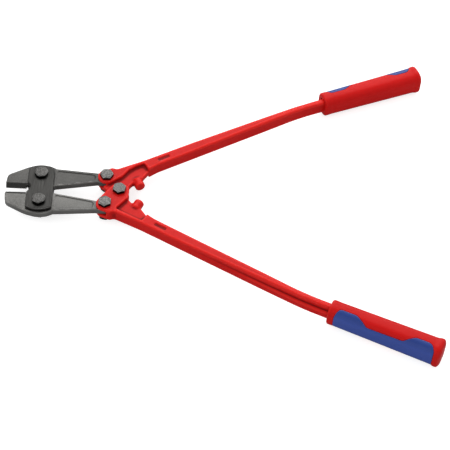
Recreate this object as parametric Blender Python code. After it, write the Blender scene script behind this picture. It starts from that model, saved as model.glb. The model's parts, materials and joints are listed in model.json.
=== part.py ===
"""Bolt cutters with forged centre-cut jaws, compound fork handles and two-colour grips.

The tool lies flat. X runs along its centre line from the jaws (-X) to the grips (+X),
+Y is the side of the upper handle and +Z is up. Sizes are in millimetres in this file
and become metres when a mesh is made. Outlines are drawn with the centre bolt at (0, 0);
the frame empty then stands the tool on z = 0 with its box centred on the origin.
"""
import math

import bmesh
import bpy
from mathutils import Matrix, Vector

# ------------------------------------------------------------------ driving sizes (mm)
MM = 0.001
CLEAR = 0.3            # gap between pieces that touch

# linkage, in the rest pose (jaws and handles open)
STRAP_PIVOT_X = -104.2   # strap bolts, measured from the centre bolt
STRAP_PIVOT_Y = 23.1     # half the spacing of the two strap bolts
HANDLE_PIVOT_X = -18.0   # bolts that join a jaw arm to a handle fork
HANDLE_PIVOT_Y = 23.7
CLOSE_ANGLE = 24.5       # each handle turns this far from rest until the stops meet
OPEN_ANGLE = 6.0         # and this far the other way
PIVOT_PLAY = 1.2         # extra radius of the hole that lets the centre pivot float

# fasteners
BOLT_R = 5.0
BOLT_ACROSS_FLATS = 16.0
STRAP_BOLT_ACROSS_FLATS = 17.0
STRAP_HEAD_H = 3.8
PIVOT_HEAD_H = 4.4
CENTRE_HEAD_H = 4.9
NUT_H = 5.6
WASHER_R = 9.6
WASHER_T = 1.0
THREAD_STICKOUT = 0.7

# jaws
JAW_T = 8.8
JAW_LENGTH = 46.0        # pivot to nose
JAW_HEAD_Y = 42.3        # widest point of a jaw head from the centre line
NOSE_RADIUS = 9.0
CHEEK_ANGLE = 29.0       # slope of the flat cheek behind the nose
EDGE_TIP_GAP = 3.35      # half the mouth at the tips, at rest
EDGE_ROOT_GAP = 1.65     # half the mouth at the inner ends of the edges
EDGE_LENGTH = 27.6
EDGE_LAND = 0.8          # thickness left at the cutting edge
BEVEL_Y = 9.2            # where the steep bevel starts
STRIP_Y = 19.6           # where the shallow ground strip starts
STRIP_DROP = 0.45
RELIEF_R = 3.2           # relief hole at the end of the cutting edge
RELIEF_Y = 5.0
TAIL_GAP = 1.7           # gap of a jaw's inner heel to the centre line
ARM_ROOT_OUT_Y = 36.6
ARM_ROOT_IN_Y = 6.2
ARM_END_OUT_Y = 31.8
ARM_END_IN_Y = 16.4
ARM_END_X = -30.0
ARM_EYE_R = 9.2
PANEL_INSET = 4.0
PANEL_DEPTH = 0.6

# strap plates
STRAP_T = 4.6
STRAP_HALF_W = 17.2
STRAP_SHOULDER_Y = 33.0
STRAP_END_RISE = 5.0
STRAP_NOTCH_DEPTH = 4.4
STRAP_NOTCH_Y = 9.0

# handles
HANDLE_T = 17.8          # full thickness at the head
BOSS_R = 11.6            # round the fork bolt
CENTRE_BOSS_R = 12.0     # round the centre bolt, tongue
PLATE_R = 12.9           # round the centre bolt, outer plates
TONGUE_T = 8.0
NUB_R = 6.7
NUB_PITCH = 30.4         # stop nub's end face to the centre bolt
NUB_ANGLE = 25.3
NUB_LENGTH = 13.5
BAR_ANGLE = 29.8
BAR_START = (44.0, 53.4)
BAR_W0 = 15.4            # width at the head
BAR_W1 = 10.6            # width at the bend
BAR_RUN = 205.0          # straight run
BEND_RUN = 45.0
STEP_START = 40.0        # where the cut-back upper half begins
STEP_MAX = 4.0
MARK_LENGTH = 16.0
MARK_W = 4.2
MARK_DEPTH = 0.5

# grips
GRIP_ANGLE = 23.4
GRIP_AHEAD = 12.0        # bend end to grip front
GRIP_LENGTH = 150.0
GRIP_W = 26.6            # at the front
GRIP_T = 31.6
GRIP_SWELL = 2.6         # how much wider and thicker it is at the butt
GRIP_CORNER = 11.0
COLLAR_LENGTH = 9.0
COLLAR_RISE = 0.3
FLARE_RISE = 1.3
TANG_LENGTH = 128.0
INLAY_T = 2.2
INLAY_LOBE_A = 2.6       # how far the lobes wrap over the top, from the grip's middle
INLAY_WAIST_A = 11.6

# derived heights
JAW_H = JAW_T / 2
STRAP_Z0 = JAW_H + CLEAR
STRAP_Z1 = STRAP_Z0 + STRAP_T
FORK_Z = HANDLE_T / 2
TONGUE_Z = TONGUE_T / 2
SLOT_Z = TONGUE_Z + CLEAR
JAW_SLOT_Z = JAW_H + CLEAR

P = Vector((STRAP_PIVOT_X, STRAP_PIVOT_Y))
Q = Vector((HANDLE_PIVOT_X, HANDLE_PIVOT_Y))
C = Vector((0.0, 0.0))


# ------------------------------------------------------------------ scene and materials
def clear_scene():
    for ob in list(bpy.data.objects):
        bpy.data.objects.remove(ob, do_unlink=True)
    for me in list(bpy.data.meshes):
        bpy.data.meshes.remove(me)
    for ma in list(bpy.data.materials):
        bpy.data.materials.remove(ma)


def material(name, rgb, rough, metal):
    ma = bpy.data.materials.new(name)
    ma.use_nodes = True
    bsdf = ma.node_tree.nodes["Principled BSDF"]
    bsdf.inputs["Base Color"].default_value = (*rgb, 1.0)
    bsdf.inputs["Roughness"].default_value = rough
    bsdf.inputs["Metallic"].default_value = metal
    ma.diffuse_color = (*rgb, 1.0)
    return ma


# ------------------------------------------------------------------ plane geometry
def unit(deg):
    return Vector((math.cos(math.radians(deg)), math.sin(math.radians(deg))))


def arc(centre, r, a0, a1, n):
    return [Vector(centre) + unit(a0 + (a1 - a0) * i / n) * r for i in range(n + 1)]


def fillet(corners, seg=4):
    """Polygon from (x, y, r) corners, each rounded with its own radius."""
    out = []
    n = len(corners)
    for i in range(n):
        x, y, r = corners[i]
        p = Vector((x, y))
        if r <= 0:
            out.append(p)
            continue
        a = Vector(corners[i - 1][:2]) - p
        b = Vector(corners[(i + 1) % n][:2]) - p
        la, lb = a.length, b.length
        a.normalize()
        b.normalize()
        half = math.acos(max(-1.0, min(1.0, a.dot(b)))) / 2
        t = min(r / math.tan(half), 0.48 * la, 0.48 * lb)
        rr = t * math.tan(half)
        mid = p + (a + b).normalized() * (rr / math.sin(half))
        v0 = p + a * t - mid
        v1 = p + b * t - mid
        a0 = math.atan2(v0.y, v0.x)
        a1 = math.atan2(v1.y, v1.x)
        d = (a1 - a0 + math.pi) % (2 * math.pi) - math.pi
        for k in range(seg + 1):
            w = a0 + d * k / seg
            out.append(mid + Vector((math.cos(w), math.sin(w))) * rr)
    return tidy(out)


def tidy(pts, eps=0.05):
    out = []
    for p in pts:
        if not out or (p - out[-1]).length > eps:
            out.append(p)
    if (out[0] - out[-1]).length < eps:
        out.pop()
    return out


def area(pts):
    return sum(a.x * b.y - b.x * a.y for a, b in zip(pts, pts[1:] + pts[:1])) / 2


def ccw(pts):
    return pts if area(pts) > 0 else list(reversed(pts))


def mirror(pts):
    return ccw([Vector((p.x, -p.y)) for p in pts])


def offset(pts, d):
    """Outline moved inwards by d along its vertex normals (for small edge breaks)."""
    out = []
    n = len(pts)
    for i in range(n):
        e0 = (pts[i] - pts[i - 1]).normalized()
        e1 = (pts[(i + 1) % n] - pts[i]).normalized()
        n0 = Vector((-e0.y, e0.x))
        n1 = Vector((-e1.y, e1.x))
        m = n0 + n1
        if m.length < 0.3:
            m = n0
        m.normalize()
        out.append(pts[i] + m * (d / max(0.5, m.dot(n0))))
    return out


# ------------------------------------------------------------------ solids
def mesh_object(name, bm, mat=None):
    bmesh.ops.recalc_face_normals(bm, faces=bm.faces)
    me = bpy.data.meshes.new(name)
    bm.to_mesh(me)
    bm.free()
    me.shade_smooth()
    me.set_sharp_from_angle(angle=math.radians(32))
    ob = bpy.data.objects.new(name, me)
    bpy.context.scene.collection.objects.link(ob)
    if mat:
        me.materials.append(mat)
    return ob


def skin(rings, name, mat=None):
    """Closed solid through rings of 3-D points (mm), each ring with the same count."""
    bm = bmesh.new()
    vs = [[bm.verts.new(Vector(p) * MM) for p in ring] for ring in rings]
    n = len(rings[0])
    for lo, hi in zip(vs, vs[1:]):
        for i in range(n):
            j = (i + 1) % n
            bm.faces.new((lo[i], lo[j], hi[j], hi[i]))
    bm.faces.new(list(reversed(vs[0])))
    bm.faces.new(vs[-1])
    return mesh_object(name, bm, mat)


def slab(name, pts, z0, z1, mat=None, edge=0.0):
    """Plate with the outline pts from z0 to z1 and an edge break all round."""
    pts = ccw(tidy(pts))
    if edge > 0:
        ins = offset(pts, edge)
        rings = [(ins, z0), (pts, z0 + edge), (pts, z1 - edge), (ins, z1)]
    else:
        rings = [(pts, z0), (pts, z1)]
    return skin([[(p.x, p.y, z) for p in ring] for ring, z in rings], name, mat)


def disc(name, centre, profile, mat=None, n=24, phase=0.0):
    """Turned solid on a vertical axis; profile is a list of (radius, z)."""
    rings = []
    for r, z in profile:
        rings.append([(centre[0] + r * math.cos(2 * math.pi * i / n + phase),
                       centre[1] + r * math.sin(2 * math.pi * i / n + phase), z)
                      for i in range(n)])
    return skin(rings, name, mat)


def hide(ob):
    ob.hide_render = True
    ob.display_type = 'WIRE'
    return ob


def boolean(ob, cutter, kind='DIFFERENCE'):
    mod = ob.modifiers.new(kind.title() + " " + cutter.name, 'BOOLEAN')
    mod.operation = kind
    mod.solver = 'EXACT'
    mod.object = hide(cutter)
    return ob


def apply_modifiers(ob):
    """Fix the shape now, so that a later cutter can use it."""
    dg = bpy.context.evaluated_depsgraph_get()
    dg.update()
    me = bpy.data.meshes.new_from_object(ob.evaluated_get(dg))
    ob.modifiers.clear()
    old = ob.data
    ob.data = me
    bpy.data.meshes.remove(old)
    return ob


def both_faces(ob, name, pts, z):
    """Cut the outline pts from z outwards on the top and on the bottom."""
    boolean(ob, slab(name + "_top_cut", pts, z, z + 30))
    boolean(ob, slab(name + "_bottom_cut", pts, -z - 30, -z))


def bore(ob, name, centre, r, z0=-40, z1=40, n=24):
    boolean(ob, disc(name + "_bore", centre, [(r, z0), (r, z1)], n=n))


# ------------------------------------------------------------------ fasteners
def hex_bolt(name, centre, z_seat, head_h, z_end, flats, phase, mat, blunt=0.985):
    """Hex head above z_seat, shank down to z_end, one solid."""
    corner = blunt * flats / math.sqrt(3)
    n = 24
    rings = []

    def ring(radius_of, z):
        pts = []
        for i in range(n):
            w = 2 * math.pi * i / n
            r = radius_of(w)
            pts.append((centre[0] + r * math.cos(w + phase),
                        centre[1] + r * math.sin(w + phase), z))
        rings.append(pts)

    def hexr(limit):
        def f(w):
            k = (w + math.pi / 6) % (math.pi / 3) - math.pi / 6
            return min(limit, flats / 2 / math.cos(math.pi / 6 - abs(k)))
        return f

    ring(lambda w: BOLT_R - 0.6, z_end)
    ring(lambda w: BOLT_R, z_end + 0.6)
    ring(lambda w: BOLT_R, z_seat)
    ring(hexr(corner), z_seat)
    ring(hexr(corner), z_seat + head_h - 0.9)
    ring(hexr(flats / 2 * 1.02), z_seat + head_h)
    return skin(rings, name, mat)


def washer(name, centre, z1, mat):
    ob = disc(name, centre, [(WASHER_R, z1 - WASHER_T), (WASHER_R, z1)], mat)
    bore(ob, name, centre, BOLT_R + CLEAR)
    return ob


def hex_nut(name, centre, z1, flats, phase, mat):
    n = 24
    rings = []
    for lim, z in ((1.02 * flats / 2, z1 - NUT_H), (0.57 * flats, z1 - NUT_H + 0.8),
                   (0.57 * flats, z1)):
        pts = []
        for i in range(n):
            w = 2 * math.pi * i / n
            k = (w + math.pi / 6) % (math.pi / 3) - math.pi / 6
            r = min(lim, flats / 2 / math.cos(math.pi / 6 - abs(k)))
            pts.append((centre[0] + r * math.cos(w + phase),
                        centre[1] + r * math.sin(w + phase), z))
        rings.append(pts)
    ob = skin(rings, name, mat)
    bore(ob, name, centre, BOLT_R + CLEAR)
    return ob


def fastener_set(prefix, centre, z_face, head_h, flats, phase, mats, blunt=0.985):
    """Bolt from the top, washer and nut underneath; z_face is the clamped stack's face."""
    z_seat = z_face + CLEAR
    z_washer = -z_face - CLEAR
    z_nut = z_washer - WASHER_T - CLEAR
    z_end = z_nut - NUT_H - THREAD_STICKOUT
    return [hex_bolt(prefix + "_bolt", centre, z_seat, head_h, z_end, flats, phase,
                     mats[0], blunt),
            washer(prefix + "_washer", centre, z_washer, mats[1]),
            hex_nut(prefix + "_nut", centre, z_nut, flats, phase + 0.3, mats[1])]


# ------------------------------------------------------------------ jaws and straps
def jaw_outline():
    tip = (P.x - 45.5, EDGE_TIP_GAP)
    root_x = tip[0] + EDGE_LENGTH
    top = JAW_HEAD_Y
    corners = [
        (tip[0], tip[1], 0),
        (root_x, EDGE_ROOT_GAP, 0),
        (root_x + RELIEF_R, TAIL_GAP, 0),
        (P.x + 12.0, TAIL_GAP, 3),
        (P.x + 19.0, ARM_ROOT_IN_Y, 6),
        (ARM_END_X, ARM_END_IN_Y, 0),
    ]
    pts = fillet(corners, 3)
    pts += arc(Q, ARM_EYE_R, -75, 78, 12)
    head = [
        (ARM_END_X, ARM_END_OUT_Y),
        (P.x + STRAP_HALF_W + 1.2, ARM_ROOT_OUT_Y),
        (P.x + STRAP_HALF_W + 0.2, ARM_ROOT_OUT_Y + 1.0),
    ]
    pts += [Vector(h) for h in head]
    # head: crown, flat cheek, round nose, front edge
    nose_x = P.x - JAW_LENGTH
    cheek = math.tan(math.radians(CHEEK_ANGLE))
    crown_y = top - 1.4
    x_cheek = P.x - 17.0
    y_cheek = crown_y - 2.2
    nose_y = y_cheek - (x_cheek - nose_x - 1.5) * cheek
    head = fillet_open([pts[-1], Vector((P.x + 11.0, top - 1.5)), Vector((P.x, top + 0.4)),
                        Vector((x_cheek, y_cheek)), Vector((nose_x + 1.5, nose_y)),
                        Vector((nose_x, tip[1] + 6.0)), Vector(tip)],
                       [0, 14, 40, 45, NOSE_RADIUS, 14, 0], 6)
    pts += head[1:-1]
    return tidy(pts, 0.3)


def panel_outline():
    x0 = P.x + STRAP_HALF_W + 2.6
    x1 = ARM_END_X - 3.0
    k = PANEL_INSET
    slope_o = (ARM_END_OUT_Y - ARM_ROOT_OUT_Y) / (ARM_END_X - (P.x + 18.4))
    slope_i = (ARM_END_IN_Y - ARM_ROOT_IN_Y) / (ARM_END_X - (P.x + 19.0))
    yo = lambda x: ARM_END_OUT_Y + slope_o * (x - ARM_END_X) - k
    yi = lambda x: ARM_END_IN_Y + slope_i * (x - ARM_END_X) + k * 0.8
    return fillet([(x0, yi(x0), 3), (x1, yi(x1), 4), (x1, yo(x1), 4), (x0, yo(x0), 3)], 4)


def wedge(name, y_lo, y_hi, z_lo, z_hi, x0, x1, flip):
    """Prism whose lower face rises from (y_lo, z_lo) to (y_hi, z_hi); cuts a bevel."""
    s = -1 if flip else 1
    prof = [(y_lo, z_lo), (y_hi, z_hi), (y_hi, z_hi + 12), (y_lo, z_hi + 12)]
    rings = [[(x, y, s * z) for y, z in prof] for x in (x0, x1)]
    return skin(rings, name)


def jaw(side, mat):
    up = side == "upper"
    name = side + "_jaw"
    outline = jaw_outline()
    ob = slab(name, outline, -JAW_H, JAW_H, mat, edge=0.7)
    tip_x = P.x - 45.5
    root_x = tip_x + EDGE_LENGTH
    x0 = tip_x - 12
    x1 = root_x + RELIEF_R
    zs = JAW_H - STRIP_DROP
    ye = EDGE_ROOT_GAP - 2.0
    slope = (zs - EDGE_LAND / 2) / (BEVEL_Y - EDGE_TIP_GAP)
    z_low = EDGE_LAND / 2 + slope * (ye - EDGE_TIP_GAP)
    for flip in (False, True):
        tag = "_under" if flip else "_over"
        boolean(ob, wedge(name + tag + "_strip", ye, STRIP_Y, zs, JAW_H + 0.001,
                          x0, x1, flip))
        boolean(ob, wedge(name + tag + "_bevel", ye, BEVEL_Y + 0.01, z_low, zs + 0.005,
                          x0, x1, flip))
        pz = -JAW_H if flip else JAW_H
        z0 = pz - PANEL_DEPTH if not flip else pz - 5
        z1 = pz + 5 if not flip else pz + PANEL_DEPTH
        boolean(ob, slab(name + tag + "_panel", panel_outline(), z0, z1))
    bore(ob, name + "_relief", (root_x + RELIEF_R * 0.75, RELIEF_Y), RELIEF_R)
    bore(ob, name + "_pivot", P, BOLT_R + CLEAR)
    bore(ob, name + "_arm", Q, BOLT_R + CLEAR)
    return finish_piece(ob, up)


def strap(side, mat):
    x, w = P.x, STRAP_HALF_W
    r = (w * w + STRAP_END_RISE ** 2) / (2 * STRAP_END_RISE)
    half = math.degrees(math.asin(w / r))
    cy = STRAP_SHOULDER_Y + STRAP_END_RISE - r
    top = arc((x, cy), r, 90 - half, 90 + half, 8)
    pts = [Vector((p.x, p.y)) for p in top]
    n = STRAP_NOTCH_Y
    pts += [Vector((x - w, n))]
    for k in range(1, 8):
        t = k / 8
        pts.append(Vector((x - w + STRAP_NOTCH_DEPTH * math.sin(math.pi * t),
                           n - 2 * n * t)))
    pts += [Vector((x - w, -n))]
    pts += [Vector((p.x, -p.y)) for p in reversed(top)]
    z0, z1 = (STRAP_Z0, STRAP_Z1) if side == "top" else (-STRAP_Z1, -STRAP_Z0)
    ob = slab(side + "_strap", pts, z0, z1, mat, edge=0.6)
    for k, y in (("a", P.y), ("b", -P.y)):
        bore(ob, side + "_strap_" + k, (P.x, y), BOLT_R + CLEAR)
    return ob


# ------------------------------------------------------------------ handles
def bar_frame(s):
    """Centre line of the bar: point, direction angle and half width at run s."""
    d0, d1 = BAR_ANGLE, GRIP_ANGLE
    start = Vector(BAR_START)
    width = BAR_W0 + (BAR_W1 - BAR_W0) * min(max(s, 0) / BAR_RUN, 1.0)
    if s <= BAR_RUN:
        return start + unit(d0) * s, d0, width / 2
    r = BEND_RUN / math.radians(d0 - d1)
    base = start + unit(d0) * BAR_RUN
    centre = base + unit(d0 - 90) * r
    t = min(s - BAR_RUN, BEND_RUN) / BEND_RUN
    ang = d0 + (d1 - d0) * t
    p = centre + unit(ang + 90) * r
    if s > BAR_RUN + BEND_RUN:
        p = p + unit(d1) * (s - BAR_RUN - BEND_RUN)
        ang = d1
    return p, ang, width / 2


def grip_start():
    return BAR_RUN + BEND_RUN + GRIP_AHEAD


def bar_edges():
    s_end = grip_start() + TANG_LENGTH
    stations = [BAR_RUN * k / 4 for k in range(5)]
    stations += [BAR_RUN + BEND_RUN * k / 6 for k in range(1, 7)]
    stations += [s_end]
    outer, inner = [], []
    for s in stations:
        p, ang, h = bar_frame(s)
        outer.append(p + unit(ang + 90) * h)
        inner.append(p + unit(ang - 90) * h)
    return outer, inner


def nub_frame():
    """End point, axis direction and side direction of the stop nub."""
    face = Vector((NUB_PITCH * math.cos(math.radians(NUB_ANGLE)),
                   NUB_PITCH * math.sin(math.radians(NUB_ANGLE))))
    return face, unit(-90 + CLOSE_ANGLE), unit(CLOSE_ANGLE)


def handle_outline(centre_r):
    outer, inner = bar_edges()
    face, u, v = nub_frame()
    tang = math.degrees(math.atan2(Q.y, Q.x)) + 90
    half_w = NUB_R * 0.74
    n1 = face - u * 3.0 - v * half_w
    n2 = face - u * 3.0 + v * half_w
    l0 = face - u * 7.5 - v * half_w
    r0 = face - u * 9.5 + v * half_w
    pts = list(reversed(outer))
    pts += fillet_open([outer[0], Vector((30.0, 54.3)), Vector((-5.0, 37.0)),
                        Vector((-11.5, 38.9)), Q + unit(100) * BOSS_R],
                       [0, 0, 5, 4, 0])
    pts += arc(Q, BOSS_R, 100, tang, 10)
    pts += arc(C, centre_r, tang, 365, 12)
    pts += fillet_open([C + unit(365) * centre_r, Vector((12.2, 11.3)),
                        Vector((16.6, 17.2)), l0, n1, n2, r0,
                        Vector((31.0, 29.2)), Vector((37.2, 38.4)), inner[0]],
                       [0, 5, 3.0, 1.5, 0, 0, 2.0, 4, 12, 0])
    pts += inner
    return ccw(tidy(pts, 0.25))


def fillet_open(points, radii, seg=3):
    n = len(points)
    closed = [(points[i].x, points[i].y, radii[i] if 0 < i < n - 1 else 0)
              for i in range(n)]
    return fillet(closed, seg)


def pocket_outline(side):
    """Recess round the stop nub; on the upper handle it also frees the tongue."""
    rim0 = Vector((-3.2, 33.4))
    rim1 = Vector((31.8, 50.6))
    if side == "upper":
        # the fork wall is tangent to the boss, square to the line from C to Q
        aim = math.degrees(math.atan2(-Q.y, -Q.x))
        m = Q + unit(aim) * BOSS_R
        b = m + unit(aim + 90) * 16.5
        rest = fillet([(m.x, m.y, 0), (b.x, b.y, 3), (10.4, 36.4, 6), (19.5, 44.0, 8),
                       (30.6, 49.6, 2.5), (37.4, 39.0, 0), (46.0, 26.0, 0),
                       (46.0, -25.0, 0), (-34.0, -25.0, 0), (-44.0, Q.y, 0)], 4)
        return rest + arc(Q, BOSS_R, -182, aim - 3, 10)
    wall = Vector((11.3, 12.7))
    d = Vector((-0.627, 0.779))
    p0 = wall - d * 8
    return fillet([(p0.x, p0.y, 0), (-3.6, 31.3, 2.5), (rim1.x, rim1.y, 2.5),
                   (38.6, 39.0, 0), (46.0, 26.0, 0), (30.0, 2.0, 0)], 4)


def handle(side, mat):
    up = side == "upper"
    name = side + "_handle"
    centre_r = CENTRE_BOSS_R if up else PLATE_R
    ob = slab(name, handle_outline(centre_r), -FORK_Z, FORK_Z, mat, edge=1.0)
    both_faces(ob, name + "_pocket", pocket_outline(side), TONGUE_Z)
    face, u, v = nub_frame()
    n = 20
    rings = []
    for t, r in ((-NUB_LENGTH, NUB_R), (-0.9, NUB_R), (0.0, NUB_R - 0.9)):
        o = face + u * (t - CLEAR / 2)
        rings.append([(o.x + v.x * r * math.cos(2 * math.pi * i / n),
                       o.y + v.y * r * math.cos(2 * math.pi * i / n),
                       r * math.sin(2 * math.pi * i / n)) for i in range(n)])
    boolean(ob, skin(rings, name + "_nub"), 'UNION')
    # slot for the jaw arm
    fwd = 180 - 9
    back = 180 + CLOSE_ANGLE + 6
    r = ARM_EYE_R + CLEAR + 0.4
    pts = arc(Q, r, back + 90 - 360, 75, 12)
    pts += [Vector((pts[-1].x, Q.y + 30)), Q + unit(150) * 40]
    pts += [Q + unit(fwd) * 40, Q + unit(back + 90) * r + unit(back) * 34]
    boolean(ob, slab(name + "_jaw_slot", pts, -JAW_SLOT_Z, JAW_SLOT_Z))
    bore(ob, name + "_jaw_bolt", Q, BOLT_R + CLEAR)
    if up:
        bore(ob, name + "_centre", C, BOLT_R + CLEAR + PIVOT_PLAY)
    else:
        # slot for the tongue of the other handle
        r = CENTRE_BOSS_R + PIVOT_PLAY + CLEAR
        aim = math.degrees(math.atan2(Q.y, Q.x))
        pts = arc(C, r, 20, aim, 10)
        w = unit(aim + 90)
        e = C + unit(aim) * r + w * 26
        pts += [e, Vector((-34.0, -28.0)), Vector((28.0, -28.0)), Vector((28.0, pts[0].y))]
        boolean(ob, slab(name + "_tongue_slot", pts, -SLOT_Z, SLOT_Z))
        bore(ob, name + "_centre", C, BOLT_R + CLEAR)
    step_cut(ob, name)
    mark_recess(ob, name)
    return finish_piece(ob, up)


def step_cut(ob, name):
    """The upper half of the outer side is set back, more and more towards the grip."""
    s_end = grip_start() + TANG_LENGTH + 10
    s_full = grip_start() - 30
    inner, outer = [], []
    for k in range(13):
        s = STEP_START + (s_end - STEP_START) * k / 12
        p, ang, h = bar_frame(s)
        t = min(1.0, (s - STEP_START) / (s_full - STEP_START))
        inner.append(p + unit(ang + 90) * (h + 0.05 - STEP_MAX * t))
        outer.append(p + unit(ang + 90) * (h + 12))
    pts = inner + list(reversed(outer))
    boolean(ob, slab(name + "_step", pts, 0.6, 30))


def mark_recess(ob, name):
    p, ang, h = bar_frame(14.0)
    d, v = unit(ang), unit(ang + 90)
    hl, hw = MARK_LENGTH / 2, MARK_W / 2
    cs = [p - d * hl - v * hw, p + d * hl - v * hw, p + d * hl + v * hw, p - d * hl + v * hw]
    pts = fillet([(c.x, c.y, 1.5) for c in cs], 3)
    both_faces(ob, name + "_mark", pts, FORK_Z - MARK_DEPTH)


# ------------------------------------------------------------------ grips
def grip_section(w, t, r, n=6):
    pts = []
    for cx, cy, a0 in ((w / 2 - r, t / 2 - r, 0), (-w / 2 + r, t / 2 - r, 90),
                       (-w / 2 + r, -t / 2 + r, 180), (w / 2 - r, -t / 2 + r, 270)):
        for k in range(n + 1):
            q = unit(a0 + 90 * k / n) * r
            pts.append((cx + q.x, cy + q.y))
    return pts


def grip_loft(name, grow, mat=None):
    p0, ang, _ = bar_frame(grip_start())
    d, v = unit(ang), unit(ang + 90)
    stations = [(0.0, COLLAR_RISE - 1.5), (1.5, COLLAR_RISE), (COLLAR_LENGTH - 1.5, COLLAR_RISE),
                (COLLAR_LENGTH + 0.5, 0.0), (GRIP_LENGTH * 0.5, 0.0),
                (GRIP_LENGTH - 11.0, 0.0), (GRIP_LENGTH - 7.0, FLARE_RISE),
                (GRIP_LENGTH - 3.0, FLARE_RISE - 0.4), (GRIP_LENGTH - 1.0, -1.6),
                (GRIP_LENGTH, -5.0)]
    rings = []
    for s, rise in stations:
        g = 2 * (rise + grow) + GRIP_SWELL * s / GRIP_LENGTH
        rings.append([(p0.x + d.x * s + v.x * a, p0.y + d.y * s + v.y * a, z)
                      for a, z in grip_section(GRIP_W + g, GRIP_T + g,
                                               max(1.5, GRIP_CORNER + rise + grow))])
    return skin(rings, name, mat)


def inlay_plan(shrink):
    """Plan of the inlay in the grip's own (s, a) axes: two lobes and a narrow waist."""
    k = shrink
    lobe, waist = INLAY_LOBE_A + k, INLAY_WAIST_A + k
    L = GRIP_LENGTH
    corners = [(8.0 + k, 40, 0), (8.0 + k, 15.0, 0), (13.5 + k, lobe, 6), (36 - k, lobe, 9),
               (52 - k, waist, 9), (L - 50 + k, waist, 9), (L - 36 + k, lobe, 9),
               (L - 15 - k, lobe, 9), (L - 9.5 - k, 12.0, 4), (L - 8.5 - k, 40, 0)]
    p0, ang, _ = bar_frame(grip_start())
    d, v = unit(ang), unit(ang + 90)
    pts = fillet(corners, 4)
    return [p0 + d * p.x + v * p.y for p in pts]


def grip(side, red, blue):
    up = side == "upper"
    name = side + "_grip"
    body = grip_loft(name, 0.0, red)
    recess = slab(name + "_recess", inlay_plan(0.0), -40, 40)
    boolean(recess, grip_loft(name + "_core_cut", -INLAY_T))
    apply_modifiers(recess)
    boolean(body, recess)
    s0 = grip_start() - 5
    s1 = grip_start() + TANG_LENGTH + CLEAR
    pa, ang, h = bar_frame(s0)
    pb = pa + unit(ang) * (s1 - s0)
    v = unit(ang + 90) * (h + CLEAR)
    zt = FORK_Z + CLEAR
    boolean(body, slab(name + "_socket", [pa - v, pb - v, pb + v, pa + v], -zt, zt))
    inlay = grip_loft(name + "_inlay", 0.0, blue)
    boolean(inlay, slab(name + "_inlay_plan", inlay_plan(CLEAR), -40, 40), 'INTERSECT')
    boolean(inlay, grip_loft(name + "_inlay_core", -INLAY_T + CLEAR))
    return finish_piece(body, up), finish_piece(inlay, up)


def finish_piece(ob, up):
    """Fix the shape, mirrored across the centre line for the lower side."""
    apply_modifiers(ob)
    if not up:
        ob.data.transform(Matrix.Scale(-1, 4, Vector((0, 1, 0))))
        ob.data.flip_normals()
    return ob


# ------------------------------------------------------------------ assembly
def empty(name, parent, xy, base):
    em = bpy.data.objects.new(name, None)
    em.empty_display_size = 0.02
    bpy.context.scene.collection.objects.link(em)
    em.parent = parent
    em.location = Vector((xy[0] - base[0], xy[1] - base[1], 0)) * MM
    return em


def ride(ob, em, xy):
    ob.data.transform(Matrix.Translation(Vector((-xy[0], -xy[1], 0)) * MM))
    ob.parent = em
    for mod in ob.modifiers:
        cutter = mod.object
        cutter.data.transform(Matrix.Translation(Vector((-xy[0], -xy[1], 0)) * MM))
        cutter.parent = em


def stand(root, pieces):
    """Box centred on the origin in plan, lowest point on z = 0."""
    dg = bpy.context.evaluated_depsgraph_get()
    dg.update()
    lo = Vector((1e9, 1e9, 1e9))
    hi = -lo
    for ob in pieces:
        ev = ob.evaluated_get(dg)
        me = ev.to_mesh()
        for v in me.vertices:
            w = ev.matrix_world @ v.co
            lo = Vector(map(min, lo, w))
            hi = Vector(map(max, hi, w))
        ev.to_mesh_clear()
    root.location = Vector((-(lo.x + hi.x) / 2, -(lo.y + hi.y) / 2, -lo.z))


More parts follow.
